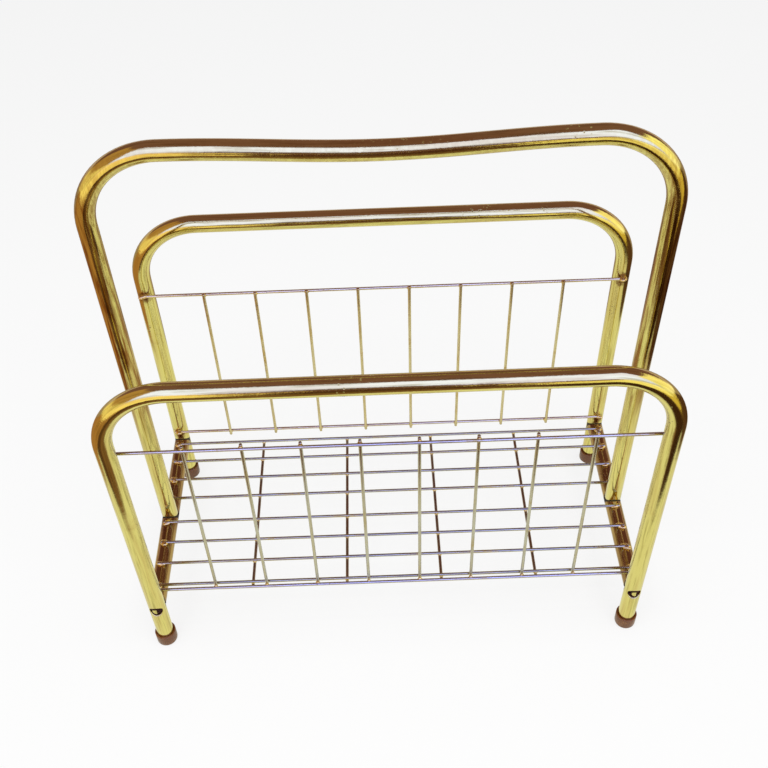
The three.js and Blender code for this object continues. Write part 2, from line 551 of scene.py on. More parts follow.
class GroupBuilder(Wiring):
    """Builds one shader node group with named inputs and outputs."""

    def __init__(self, name: str) -> None:
        """Starts an empty group whose first input is a vector, the place to be coloured.

        Args:
            name: the group's name.
        """
        super().__init__(bpy.data.node_groups.new(name, "ShaderNodeTree"))
        self.tree.interface.new_socket("Vector", in_out="INPUT", socket_type="NodeSocketVector")
        self.entry = self.node("NodeGroupInput")
        self.exit = self.node("NodeGroupOutput")

    @property
    def place(self) -> Socket:
        """The group's vector, inside the group."""
        return self.entry.outputs["Vector"]

    def takes(self, name: str, value: float) -> Socket:
        """Adds a number input.

        Args:
            name: the input's name.
            value: its default.

        Returns:
            Its socket inside the group.
        """
        socket = self.tree.interface.new_socket(
            name, in_out="INPUT", socket_type="NodeSocketFloat"
        )
        socket.default_value = value
        return self.entry.outputs[name]

    def gives(self, name: str, source: Socket) -> None:
        """Adds a number output that carries a socket of the group."""
        self.tree.interface.new_socket(name, in_out="OUTPUT", socket_type="NodeSocketFloat")
        self.link(source, self.exit.inputs[name])

    def scaled(self, *factors: float) -> Socket:
        """The group's vector with its parts scaled.

        Args:
            factors: the scale of each part.

        Returns:
            The scaled vector's socket.
        """
        made = self.node("ShaderNodeVectorMath", operation="MULTIPLY")
        self.link(self.place, made.inputs[0])
        made.inputs[1].default_value = factors
        return made.outputs[0]

    def noise(
        self, scale: Socket | float, detail: float, rough: float = 0.5, place: Socket | None = None
    ) -> Socket:
        """Adds a noise texture.

        Args:
            scale: how fine the noise is.
            detail: how many finer layers it has.
            rough: how strong those are.
            place: the vector it follows, where that isn't the group's own.

        Returns:
            The socket of its value.
        """
        made = self.node("ShaderNodeTexNoise")
        self.link(place or self.place, made.inputs["Vector"])
        for name, value in (("Scale", scale), ("Detail", detail), ("Roughness", rough)):
            self.put(value, made.inputs[name])
        return made.outputs["Fac"]


def tarnish_group() -> bpy.types.NodeTree:
    """Soft-edged patches where plating has dulled, with a finer mottle inside them.

    Returns:
        The group.
    """
    finer, bare_level, cover_share, softness = 9.0, 0.78, 0.4, 0.22
    mottle_span, mottle_floor = (0.32, 0.7), 0.35
    group = GroupBuilder("tarnish")
    scale = group.takes("Scale", 30)
    cover = group.takes("Cover", 0.5)
    broad = group.noise(scale, detail=5, rough=0.62)
    fine = group.noise(group.maths("MULTIPLY", scale, finer), detail=3)
    low = group.maths("SUBTRACT", bare_level, group.maths("MULTIPLY", cover, cover_share))
    patch = group.window(broad, low, group.maths("ADD", low, softness))
    mottle = group.maths("ADD", group.window(fine, *mottle_span), mottle_floor)
    group.gives("Mask", group.maths("MULTIPLY", patch, mottle))
    return group.tree


def pits_group() -> bpy.types.NodeTree:
    """Scattered small dark spots of corrosion, gathered in a few places.

    Returns:
        The group.
    """
    spot_span, gathering_scale, gathering_span = (0.26, 0.12), 22.0, (0.6, 0.72)
    group = GroupBuilder("pits")
    spacing = group.takes("Per Metre", 320)
    cells = group.node("ShaderNodeTexVoronoi")
    group.link(group.place, cells.inputs["Vector"])
    group.link(spacing, cells.inputs["Scale"])
    spot = group.window(cells.outputs["Distance"], *spot_span)
    gathered = group.window(group.noise(gathering_scale, detail=2), *gathering_span)
    group.gives("Mask", group.maths("MULTIPLY", spot, gathered))
    return group.tree


def handling_group() -> bpy.types.NodeTree:
    """Fine rubbing marks and smears that break up a polished surface.

    Returns:
        The group.
    """
    hair_span, smear_scale, smear_span = (0.45, 0.75), 60.0, (0.35, 0.7)
    group = GroupBuilder("handling")
    fineness = group.takes("Fineness", 900)
    hair = group.window(group.noise(fineness, detail=2, rough=0.7), *hair_span)
    smear = group.noise(smear_scale, detail=4, rough=0.6)
    group.gives("Marks", group.maths("MULTIPLY", hair, group.window(smear, *smear_span)))
    group.gives("Smear", smear)
    return group.tree


def ripple_group() -> bpy.types.NodeTree:
    """The slow unevenness of drawn and bent tube, which makes its reflections waver.

    Returns:
        The group.
    """
    quick_share = 0.07
    group = GroupBuilder("ripple")
    slow = group.noise(group.takes("Slow", 26), detail=1, rough=0.4)
    quick = group.noise(group.takes("Quick", 140), detail=2, rough=0.5)
    group.gives("Height", group.maths("ADD", slow, group.maths("MULTIPLY", quick, quick_share)))
    return group.tree


def streaks_group() -> bpy.types.NodeTree:
    """Long thin streaks that run with the metal, as drawing and wiping leave them.

    Returns:
        The group.
    """
    squeeze_along = 0.045
    group = GroupBuilder("streaks")
    fineness = group.takes("Fineness", 700)
    drawn = group.scaled(1, 1, squeeze_along)
    for name, factor, low, high in (("Fine", 1.0, 0.45, 0.72), ("Broad", 0.32, 0.42, 0.66)):
        scale = group.maths("MULTIPLY", fineness, factor)
        noise = group.noise(scale, detail=3, rough=0.6, place=drawn)
        group.gives(name, group.window(noise, low, high))
    return group.tree


def gap_shade_group() -> bpy.types.NodeTree:
    """Painted shade of the gap where rails meet legs, as dark rings round each tube that lands on
    another.

    Returns:
        The group.
    """
    core = 0.3
    group = GroupBuilder("joint_dirt")
    half_width = group.takes("Half Width", 0.18)
    half_depth = group.takes("Half Depth", 0.08)
    rail_height = group.takes("Rail Height", 0.05)
    radius = group.takes("Radius", 0.006)
    reach = group.takes("Reach", 0.001)
    x, y, z = group.split(group.place)
    across = group.maths("SUBTRACT", group.maths("ABSOLUTE", x), half_width)
    depth = group.maths("ABSOLUTE", y)
    from_leg = group.maths("MINIMUM", group.gap(depth, half_depth), depth)
    inside = group.window(depth, half_depth, group.maths("SUBTRACT", half_depth, reach))

    def ring(first: Socket, second: Socket) -> Socket:
        """A thin ring round an axis from which the two distances are measured."""
        off = group.gap(group.length(first, second), radius)
        return group.window(off, reach, group.maths("MULTIPLY", reach, core))

    on_legs = ring(across, group.maths("SUBTRACT", z, rail_height))
    group.gives("On Legs", group.maths("MULTIPLY", on_legs, inside))
    group.gives("On Rails", ring(across, from_leg))
    return group.tree


def scorch_group() -> bpy.types.NodeTree:
    """The brown that welding leaves on a leg round the end of a panel's wire.

    Returns:
        The group.
    """
    lengthening, raggedness, outer, inner = 0.7, 8 * MM, 10 * MM, 5.5 * MM
    group = GroupBuilder("weld_scorch")
    half_width = group.takes("Half Width", 0.18)
    leg_face = group.takes("Leg Face", 0.08)
    top = group.takes("Top", 0.2)
    bottom = group.takes("Bottom", 0.05)
    x, y, z = group.split(group.place)
    across = group.gap(group.maths("ABSOLUTE", x), half_width)
    along = group.gap(group.maths("ABSOLUTE", y), leg_face)
    up = group.maths("MINIMUM", group.gap(z, top), group.gap(z, bottom))
    distance = group.length(across, along, group.maths("MULTIPLY", up, lengthening))
    ragged = group.maths("MULTIPLY", group.noise(340.0, detail=3, rough=0.6), raggedness)
    group.gives("Mask", group.window(group.maths("ADD", distance, ragged), outer, inner))
    return group.tree


def dark_reflection_band_group() -> bpy.types.NodeTree:
    """Painted dark reflection: a brown band on the legs, in streaks that run down them.

    Returns:
        The group.
    """
    squeeze_down, streak_scale, streak_span = 0.06, 420.0, (0.38, 0.6)
    group = GroupBuilder("leg_browning")
    low = group.takes("Low", 0.1)
    high = group.takes("High", 0.3)
    fade = group.takes("Fade", 0.08)
    z = group.split(group.place)[2]
    above = group.window(z, low, group.maths("ADD", low, fade))
    below = group.window(z, high, group.maths("SUBTRACT", high, fade))
    stretched = group.scaled(1, 1, squeeze_down)
    noise = group.noise(streak_scale, detail=3, rough=0.6, place=stretched)
    streaky = group.window(noise, *streak_span)
    group.gives("Mask", group.maths("MULTIPLY", group.maths("MULTIPLY", above, below), streaky))
    return group.tree


class Effects:
    """The shared node groups, each built once."""

    def __init__(self) -> None:
        """Builds every group."""
        self.tarnish = tarnish_group()
        self.pits = pits_group()
        self.handling = handling_group()
        self.ripple = ripple_group()
        self.streaks = streaks_group()
        self.joints = gap_shade_group()
        self.scorch = scorch_group()
        self.browning = dark_reflection_band_group()


# ------------------------------------------------------------------------------ finishes


class FinishBuilder(Wiring):
    """Wires one material: its Principled shader and what feeds it."""

    def __init__(self, name: str) -> None:
        """Starts a material with a Principled shader, object coordinates and the grain.

        Args:
            name: the material's name.
        """
        self.material = bpy.data.materials.new(name)
        self.material.use_nodes = True
        super().__init__(self.material.node_tree)
        self.shader = self.tree.nodes["Principled BSDF"]
        self.coordinates = self.node("ShaderNodeTexCoord").outputs["Object"]
        self.grain = self.node("ShaderNodeAttribute", attribute_name="grain").outputs["Vector"]

    def effect(self, group: bpy.types.NodeTree, **values: float) -> bpy.types.Node:
        """Places a shared group with its own values.

        Args:
            group: the node group.
            values: numbers for the group's inputs, with spaces in a name as underscores.

        Returns:
            The group node.
        """
        made = self.node("ShaderNodeGroup", node_tree=group)
        self.link(self.coordinates, made.inputs["Vector"])
        for name, value in values.items():
            made.inputs[name.replace("_", " ")].default_value = value
        return made

    def effect_along(self, group: bpy.types.NodeTree, **values: float) -> bpy.types.Node:
        """Places a shared group that follows the metal's grain, with its own values.

        Args:
            group: the node group.
            values: numbers for the group's inputs, as effect takes them.

        Returns:
            The group node.
        """
        made = self.effect(group, **values)
        self.link(self.grain, made.inputs["Vector"])
        return made

    def feed(self, socket: str, source: Socket) -> None:
        """Joins a colour or value to one of the shader's own sockets."""
        self.link(source, self.shader.inputs[socket])

    def set(self, **values: float) -> None:
        """Sets uniform numbers on the shader's own sockets, with spaces as underscores."""
        for name, value in values.items():
            self.shader.inputs[name.replace("_", " ")].default_value = value

    def bump(self, height: Socket, depth: float) -> None:
        """Feeds a height to the shader's normal.

        Args:
            height: the height's socket.
            depth: how far a height of 1 stands out, in metres.
        """
        made = self.node("ShaderNodeBump")
        made.inputs["Distance"].default_value = depth
        self.link(height, made.inputs["Height"])
        self.feed("Normal", made.outputs["Normal"])


class Dirt(Enum):
    """Which of the painted gap shade's rings a tube shows."""

    ON_LEGS = "On Legs"
    ON_RAILS = "On Rails"
    NONE = ""


@dataclass(frozen=True)
class BrassPlate:
    """Bright brass plating: streaks, dulled patches, spots, rubbing marks, optional painted shade."""

    name: str
    colour: Colour
    streak: Colour
    dulled: Colour
    polish: float
    cover: float
    patch_scale: float
    spots_per_metre: float
    ripple_depth: float
    ripple_slow: float = 26
    fineness: float = 700
    streak_strength: float = 0.7
    spot_colour: Colour = (0.09, 0.045, 0.022)
    # Painted shade: dark rings that stand for the shadowed gap where one tube lands on another.
    dirt: Dirt = Dirt.NONE
    gap_shade_colour: Colour = (0.02, 0.008, 0.004)
    scorched: bool = False
    scorch_colour: Colour = (0.2, 0.085, 0.03)
    # Heights and colour of a band of painted dark reflection on the legs.
    dark_reflection_heights: tuple[float, float] | None = None
    dark_reflection_colour: Colour = (0.33, 0.16, 0.035)
    broad_share: float = 0.6
    patch_roughness: float = 0.16
    streak_roughness: float = 0.1
    scorch_roughness: float = 0.15
    gap_shade_roughness: float = 0.45
    gap_shade_cover: float = 0.7
    pit_share: float = 0.1
    mark_share: float = 0.02

    def build(self, effects: Effects, sizes: Sizes) -> bpy.types.Material:
        """Makes the material.

        Args:
            effects: the shared node groups.
            sizes: the rack's sizes, which place its joints.

        Returns:
            The finished material.
        """
        made = FinishBuilder(self.name)
        dull = made.effect(effects.tarnish, Scale=self.patch_scale, Cover=self.cover)
        pits = made.effect(effects.pits, Per_Metre=self.spots_per_metre)
        worn = made.effect(effects.handling)
        wave = made.effect(effects.ripple, Slow=self.ripple_slow)
        lines = made.effect_along(effects.streaks, Fineness=self.fineness)
        patch = dull.outputs["Mask"]
        pitted = pits.outputs["Mask"]
        marks = worn.outputs["Marks"]
        drawn = made.maths("MULTIPLY", lines.outputs["Fine"], self.streak_strength)
        colour = made.tint(drawn, self.colour, self.streak)
        broad = made.maths("MULTIPLY", lines.outputs["Broad"], self.streak_strength * self.broad_share)
        colour = made.tint(broad, colour, self.dulled)
        colour = made.tint(patch, colour, self.dulled)
        rough = made.blend(self.polish, patch, self.patch_roughness)
        rough = made.blend(rough, drawn, self.streak_roughness)
        spots_and_gap_shade = pitted
        # Painted dark reflection: the band darkens the legs where they would reflect dark
        # surroundings.
        if self.dark_reflection_heights:
            low, high = self.dark_reflection_heights
            film = made.effect(effects.browning, Low=low, High=high).outputs["Mask"]
            colour = made.tint(film, colour, self.dark_reflection_colour)
        if self.scorched:
            burnt = made.effect(
                effects.scorch,
                Half_Width=sizes.half_width,
                Leg_Face=sizes.half_depth - sizes.tube_radius,
                Top=sizes.panel_top,
                Bottom=sizes.panel_bottom,
            )
            colour = made.tint(burnt.outputs["Mask"], colour, self.scorch_colour)
            rough = made.blend(rough, burnt.outputs["Mask"], self.scorch_roughness)
        colour = made.tint(pitted, colour, self.spot_colour)
        # Painted shade of the joints' gaps: a thin ring darkened, roughened and made less metallic.
        if self.dirt is not Dirt.NONE:
            joints = made.effect(
                effects.joints,
                Half_Width=sizes.half_width,
                Half_Depth=sizes.half_depth,
                Rail_Height=sizes.rail_height,
                Radius=sizes.tube_radius,
            )
            ring = joints.outputs[self.dirt.value]
            colour = made.tint(ring, colour, self.gap_shade_colour)
            spots_and_gap_shade = made.maths("MAXIMUM", spots_and_gap_shade, ring)
        made.feed("Base Color", colour)
        made.feed("Roughness", made.blend(rough, spots_and_gap_shade, self.gap_shade_roughness))
        made.feed("Metallic", made.blend(1.0, spots_and_gap_shade, -self.gap_shade_cover))
        height = made.blend(wave.outputs["Height"], pitted, -self.pit_share)
        made.bump(made.blend(height, marks, self.mark_share), self.ripple_depth)
        return made.material


@dataclass(frozen=True)
class MouldedCap:
    """Brown moulded rubber with a slight gloss and rubbed, dusty patches."""

    name: str
    colour: Colour
    worn: Colour
    gloss: float
    patch_scale: float = 90
    cover: float = 0.75
    fineness: float = 1500
    smear_roughness: float = 0.3
    shine: float = 0.6
    mark_depth: float = 0.06 * MM

    def build(self, effects: Effects) -> bpy.types.Material:
        """Makes the material.

        Args:
            effects: the shared node groups.

        Returns:
            The finished material.
        """
        made = FinishBuilder(self.name)
        dull = made.effect(effects.tarnish, Scale=self.patch_scale, Cover=self.cover)
        worn = made.effect(effects.handling, Fineness=self.fineness)
        patch = dull.outputs["Mask"]
        made.feed("Base Color", made.tint(patch, self.colour, self.worn))
        rough = made.blend(self.gloss, worn.outputs["Smear"], self.smear_roughness)
        made.feed("Roughness", rough)
        made.set(Specular_IOR_Level=self.shine)
        made.bump(worn.outputs["Marks"], self.mark_depth)
        return made.material


@dataclass(frozen=True)
class TurnedSteel:
    """Machined or darkened steel with fine marks and a dull film."""

    name: str
    colour: Colour
    film: Colour
    polish: float
    patch_scale: float = 220
    cover: float = 0.8
    fineness: float = 2400
    film_roughness: float = 0.3
    mark_depth: float = 0.03 * MM

    def build(self, effects: Effects) -> bpy.types.Material:
        """Makes the material.

        Args:
            effects: the shared node groups.

        Returns:
            The finished material.
        """
        made = FinishBuilder(self.name)
        dull = made.effect(effects.tarnish, Scale=self.patch_scale, Cover=self.cover)
        worn = made.effect(effects.handling, Fineness=self.fineness)
        patch = dull.outputs["Mask"]
        made.feed("Base Color", made.tint(patch, self.colour, self.film))
        made.feed("Roughness", made.blend(self.polish, patch, self.film_roughness))
        made.set(Metallic=1.0)
        made.bump(worn.outputs["Marks"], self.mark_depth)
        return made.material


@dataclass(frozen=True)
class OxidisedBore:
    """The bare inside of a tube, matt with brown oxide."""

    name: str
    colour: Colour
    rust: Colour
    patch_scale: float = 160
    cover: float = 0.9
    fineness: float = 1300
    dullness: float = 0.45
    smear_roughness: float = 0.3
    mark_depth: float = 0.08 * MM

    def build(self, effects: Effects) -> bpy.types.Material:
        """Makes the material.

        Args:
            effects: the shared node groups.

        Returns:
            The finished material.
        """
        made = FinishBuilder(self.name)
        dull = made.effect(effects.tarnish, Scale=self.patch_scale, Cover=self.cover)
        worn = made.effect(effects.handling, Fineness=self.fineness)
        made.feed("Base Color", made.tint(dull.outputs["Mask"], self.colour, self.rust))
        rough = made.blend(self.dullness, worn.outputs["Smear"], self.smear_roughness)
        made.feed("Roughness", rough)
        made.bump(worn.outputs["Marks"], self.mark_depth)
        return made.material


BRASS_TUBE = BrassPlate(
    name="polished_brass_tube",
    colour=(0.86, 0.80, 0.27),
    streak=(0.50, 0.44, 0.12),
    dulled=(0.66, 0.50, 0.16),
    polish=0.1,
    cover=0.45,
    patch_scale=30,
    spots_per_metre=330,
    ripple_depth=0.8 * MM,
    streak_strength=0.85,
    # Painted gap shade rings on the legs where the rails meet them.
    dirt=Dirt.ON_LEGS,
    scorched=True,
)
# The handle frame's brass: no weld scorch, and a band of painted dark reflection on its legs.
HANDLE_TUBE = replace(
    BRASS_TUBE,
    name="handled_brass_tube",
    scorched=False,
    dark_reflection_heights=(0.12, 0.4),
)
# A darker copy of the tube's brass for the rails: painted shade of the low rails among the base wires,
# with tarnish patches over more of it.
SHADED_BRASS_RAIL = replace(
    BRASS_TUBE,
    name="shaded_brass_rail",
    colour=(0.52, 0.36, 0.12),
    streak=(0.3, 0.17, 0.05),
    dulled=(0.22, 0.1, 0.035),
    polish=0.14,
    cover=0.75,
    # Painted gap shade rings on the rails where the legs meet them.
    dirt=Dirt.ON_RAILS,
    scorched=False,
)
BASE_WIRE = BrassPlate(
    name="worn_base_wire",
    colour=(0.49, 0.5, 0.33),
    streak=(0.35, 0.32, 0.22),
    dulled=(0.62, 0.5, 0.17),
    polish=0.24,
    cover=0.7,
    patch_scale=48,
    spots_per_metre=420,
    ripple_depth=0.4 * MM,
    ripple_slow=60,
)
# A darker copy of the base wire's brass for the cross wires, which lie under the long ones: painted
# shade.
SHADED_CROSS_WIRE = replace(
    BASE_WIRE,
    name="dark_cross_wire",
    colour=(0.38, 0.31, 0.22),
    streak=(0.2, 0.11, 0.07),
    dulled=(0.28, 0.15, 0.08),
)
FRONT_WIRE = replace(
    BASE_WIRE,
    name="pale_panel_wire",
    colour=(0.63, 0.64, 0.52),
    streak=(0.48, 0.44, 0.32),
    dulled=(0.58, 0.5, 0.24),
)
REAR_WIRE = replace(
    BASE_WIRE,
    name="golden_panel_wire",
    colour=(0.82, 0.75, 0.44),
    streak=(0.6, 0.48, 0.24),
    dulled=(0.66, 0.5, 0.18),
)
WELD_BRASS = BrassPlate(
    name="plated_weld",
    colour=(0.86, 0.66, 0.22),
    streak=(0.7, 0.46, 0.14),
    dulled=(0.5, 0.3, 0.1),
    polish=0.26,
    cover=0.7,
    patch_scale=150,
    spots_per_metre=600,
    ripple_depth=0.8 * MM,
    ripple_slow=420,
    streak_strength=0,
)
FOOT_RUBBER = MouldedCap("brown_cap", (0.14, 0.045, 0.01), (0.24, 0.1, 0.03), 0.08)
DARK_STEEL = TurnedSteel("dark_screw_steel", (0.42, 0.28, 0.31), (0.2, 0.11, 0.12), 0.3)
PLAIN_STEEL = TurnedSteel("insert_steel", (0.56, 0.54, 0.5), (0.33, 0.3, 0.26), 0.3)
TUBE_INSIDE = OxidisedBore("bore_oxide", (0.55, 0.3, 0.28), (0.6, 0.4, 0.2))


class Workshop:
    """Dresses finished pieces and hands them to the frame."""

    def __init__(self, sizes: Sizes) -> None:
        """Builds the node groups and every finish.

        Args:
            sizes: the rack's sizes.
        """
        effects = Effects()
        self.tube = BRASS_TUBE.build(effects, sizes)
        self.handle = HANDLE_TUBE.build(effects, sizes)
        self.rail = SHADED_BRASS_RAIL.build(effects, sizes)
        self.base_wire = BASE_WIRE.build(effects, sizes)
        self.cross_wire = SHADED_CROSS_WIRE.build(effects, sizes)
        self.front_wire = FRONT_WIRE.build(effects, sizes)
        self.rear_wire = REAR_WIRE.build(effects, sizes)
        self.weld = WELD_BRASS.build(effects, sizes)
        self.bore = TUBE_INSIDE.build(effects)
        self.foot = FOOT_RUBBER.build(effects)
        self.screw = DARK_STEEL.build(effects)
        self.insert = PLAIN_STEEL.build(effects)

    def hand_over(
        self,
        piece: bpy.types.Object,
        finish: bpy.types.Material,
        slot: Slot,
        *nodes: str,
    ) -> bpy.types.Object:
        """Gives a piece its finish and its place in the frame.

        Args:
            piece: the finished piece.
            finish: its material.
            slot: not used.
            nodes: the CAD nodes that it stands for.

        Returns:
            The same piece.
        """
        piece.data.materials.clear()
        piece.data.materials.append(finish)
        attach(piece, BODY)
        if nodes:
            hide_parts(*nodes)
        LOG.info("%s: %d faces, for %s", piece.name, len(piece.data.polygons), list(nodes))
        return piece

    def dress_tube(
        self, piece: bpy.types.Object, finish: bpy.types.Material, node: str, bore: float
    ) -> None:
        """Hands a tube over, with a plain oxidised finish on the wall of its bore.

        Args:
            piece: the tube, with its grain laid.
            finish: the finish of its outside.
            node: the CAD node that it stands for.
            bore: the bore's radius, a little enlarged.
        """
        self.hand_over(piece, finish, Slot.TUBE, node)
        piece.data.materials.append(self.bore)
        grain = piece.data.attributes["grain"].data
        for face in piece.data.polygons:
            if all(Vector(grain[i].vector).to_2d().length < bore for i in face.vertices):
                face.material_index = 1


# ------------------------------------------------------------------------------ tubes


@dataclass
class TubeBender:
    """Draws a round tube along straights and round bends, as a tube shop does."""

    name: str
    radius: float
    wall: float
    sides: int = 56
    bend_steps: int = 22
    piece: bpy.types.Object | None = None

    def start(self, place: Vector, along: Vector) -> None:
        """Lays the first ring of the tube.

        Args:
            place: the middle of the tube's first end.
            along: the way the tube sets off.
        """
        bpy.ops.object.select_all(action="DESELECT")
        bpy.ops.mesh.primitive_circle_add(
            vertices=self.sides,
            radius=self.radius,
            location=place,
            rotation=along.to_track_quat("Z", "Y").to_euler(),
        )
        self.piece = fresh(self.name)
        bpy.ops.object.mode_set(mode="EDIT")
        bpy.ops.mesh.select_mode(type="EDGE")
        bpy.ops.mesh.select_all(action="SELECT")

    def straight(self, *moves: Vector) -> None:
        """Draws the tube on by one or more moves."""
        for move in moves:
            bpy.ops.mesh.extrude_region_move(TRANSFORM_OT_translate={"value": move})

    def bend(self, centre: Vector, axis: Vector, angle: float) -> None:
        """Draws the tube round a bend.

        Args:
            centre: the middle of the bend.
            axis: the bend's axis.
            angle: how far it turns, by the right-hand rule.
        """
        bpy.ops.mesh.spin(
            steps=self.bend_steps,
            angle=-angle,
            center=centre,
            axis=axis,
            use_auto_merge=False,
        )

    def finish(self) -> bpy.types.Object:
        """Gives the tube its wall.

        Returns:
            The finished tube, still with no holes.
        """
        bpy.ops.object.mode_set(mode="OBJECT")
        face_outwards(self.piece)
        modify(
            self.piece,
            "SOLIDIFY",
            thickness=self.wall,
            offset=-1,
            use_even_offset=True,
            use_rim=True,
        )
        return self.piece


@dataclass
class BentFrame:
    """An upside-down U of tube: two legs, two bends and a top bar."""

    name: str
    sizes: Sizes
    y: float
    top: float
    bend_radius: float
    leg_end: float
    dip: float = 0.0
    bar_steps: int = 28
    leg_rings: int = 6

    @property
    def bend_x(self) -> float:
        """How far the middles of the bends are from the rack's middle."""
        return self.sizes.half_width - self.bend_radius

    @property
    def bend_z(self) -> float:
        """How high the middles of the bends are."""
        return self.top - self.bend_radius

    def tube(self) -> bpy.types.Object:
        """Draws the whole U.

        Returns:
            The tube, with no holes yet.
        """
        half = self.sizes.half_width
        leg = Vector((0, 0, (self.bend_z - self.leg_end) / self.leg_rings))
        bender = TubeBender(self.name, self.sizes.tube_radius, self.sizes.tube_wall)
        bender.start(Vector((-half, self.y, self.leg_end)), Vector((0, 0, 1)))
        bender.straight(*[leg] * self.leg_rings)
        bender.bend(Vector((-self.bend_x, self.y, self.bend_z)), Vector((0, 1, 0)), QUARTER_TURN)
        bender.straight(*self.bar_moves())
        bender.bend(Vector((self.bend_x, self.y, self.bend_z)), Vector((0, 1, 0)), QUARTER_TURN)
        bender.straight(*[-leg] * self.leg_rings)
        return bender.finish()

    def sag(self, x: float) -> float:
        """How far below its ends the top bar is, as a full cosine wave between the bends."""
        return self.dip / 2 * (1 + math.cos(math.pi * x / self.bend_x))

    def bar_moves(self) -> list[Vector]:
        """Divides the top bar.

        Returns:
            The moves along it, from the left bend to the right one.
        """
        places = [self.bend_x * (2 * i / self.bar_steps - 1) for i in range(self.bar_steps + 1)]
        return [
            Vector((b - a, 0, self.sag(a) - self.sag(b))) for a, b in zip(places, places[1:])
        ]

    def unroll(self, point: Vector) -> Vector:
        """Where a point lies across the tube, outwards and to the rear, and along it.

        Args:
            point: a point of the tube.

        Returns:
            Two distances from the tube's middle line, and the distance along it.
        """
        x, up = abs(point.x), point.z - self.bend_z
        bend = self.bend_radius * QUARTER_TURN
        if up < 0:
            out, along = x - self.sizes.half_width, self.bend_x + bend - up
        elif x < self.bend_x:
            out, along = up - self.bend_radius + self.sag(x), x
        else:
            out = math.hypot(x - self.bend_x, up) - self.bend_radius
            along = self.bend_x + self.bend_radius * math.atan2(x - self.bend_x, up)
        shift = GRAIN_SHIFT * self.y
        return Vector((out, point.y - self.y, math.copysign(along, point.x) + shift))


@dataclass
class TubeWork:
    """The three bent frames and the two side rails."""

    sizes: Sizes
    shop: Workshop
    edge: float = 0.18 * MM
    hole_lip: float = 0.85 * MM
    joint_edge: float = 0.4 * MM
    joint_steps: int = 3
    overrun: float = 2 * MM
    rail_rings: int = 12

    def build(self) -> None:
        """Makes every tube of the rack."""
        self.end_frames()
        self.handle_frame()
        self.side_rails()

    def end_frames(self) -> None:
        """The front frame, with two holes in each leg, and the rear one, turned from it."""
        s = self.sizes
        shapes = {}
        for end in End:
            y = end.value * s.half_depth
            name = f"{end.word}_frame_tube"
            shapes[end] = BentFrame(name, s, y, s.bar_height, s.bend_radius, s.leg_end)
        front = shapes[End.FRONT].tube()
        outward = Vector((0, End.FRONT.value, 0))
        for flank in Flank:
            middle = Vector((flank.value * s.half_width, -s.half_depth, s.rail_height))
            drill_with_lip(front, s.access_radius, middle, outward, s.tube_radius, self.hole_lip)
            inner = middle - outward * (s.tube_radius + self.overrun)
            drill(front, s.screw_hole_radius, middle, inner)
        soften(front, self.edge)
        half_turn = Matrix.Rotation(math.pi, 4, "Z")
        rear = copy_of(front, shapes[End.REAR].name, half_turn)
        for end, piece in ((End.FRONT, front), (End.REAR, rear)):
            self.finish(piece, shapes[end].unroll, self.shop.tube, f"{end.word}_frame")

    def handle_frame(self) -> None:
        """The tall middle frame, whose legs are coped to sit on the rails."""
        s = self.sizes
        shape = BentFrame(
            "handle_frame_tube",
            s,
            0.0,
            s.handle_height,
            s.handle_bend_radius,
            s.handle_leg_end,
            s.handle_dip,
        )
        piece = shape.tube()
        reach = Vector((0, s.tube_radius + self.overrun, 0))
        for flank in Flank:
            seat = Vector((flank.value * s.half_width, 0, s.rail_height))
            drill(piece, s.tube_radius + s.cope_gap, seat - reach, seat + reach)
        soften(piece, self.joint_edge, self.joint_steps)
        self.finish(piece, shape.unroll, self.shop.handle, "handle_frame")

    def side_rails(self) -> None:
        """Two straight rails, coped to the legs, with the holes for the handle screws."""
        s = self.sizes
        x = Flank.LEFT.value * s.half_width
        step = Vector((0, 2 * s.half_depth / self.rail_rings, 0))
        bender = TubeBender("left_side_rail_tube", s.tube_radius, s.tube_wall)
        bender.start(Vector((x, -s.half_depth, s.rail_height)), Vector((0, 1, 0)))
        bender.straight(*[step] * self.rail_rings)
        left = bender.finish()
        reach = Vector((0, 0, s.tube_radius + self.overrun))
        for end in End:
            leg = Vector((x, end.value * s.half_depth, s.rail_height))
            drill(left, s.tube_radius + s.cope_gap, leg - reach, leg + reach)
        middle = Vector((x, 0, s.rail_height))
        down = Vector((0, 0, -1))
        drill_with_lip(left, s.access_radius, middle, down, s.tube_radius, self.hole_lip)
        drill(left, s.screw_hole_radius, middle, middle + reach)
        soften(left, self.edge)
        across = Matrix.Translation((2 * s.half_width, 0, 0))
        right = copy_of(left, "right_side_rail_tube", across)
        for flank, piece in ((Flank.LEFT, left), (Flank.RIGHT, right)):

            def unroll(point: Vector, x: float = flank.value * s.half_width) -> Vector:
                """Where a point lies across the rail, and along it."""
                return Vector((point.x - x, point.z - s.rail_height, point.y + GRAIN_SHIFT * x))

            self.finish(piece, unroll, self.shop.rail, f"{flank.word}_side_rail")

    def finish(
        self,
        piece: bpy.types.Object,
        unroll: Callable[[Vector], Vector],
        finish: bpy.types.Material,
        node: str,
    ) -> None:
        """Shades a tube, lays its grain and hands it over for its CAD node.

        Args:
            piece: the tube.
            unroll: gives two distances across the tube and one along it.
            finish: the finish of its outside.
            node: the CAD node that it stands for.
        """
        smooth(piece)
        lay_grain(piece, unroll)
        bore = self.sizes.tube_radius - self.sizes.tube_wall + self.edge
        self.shop.dress_tube(piece, finish, node, bore)


# ------------------------------------------------------------------------------ wires


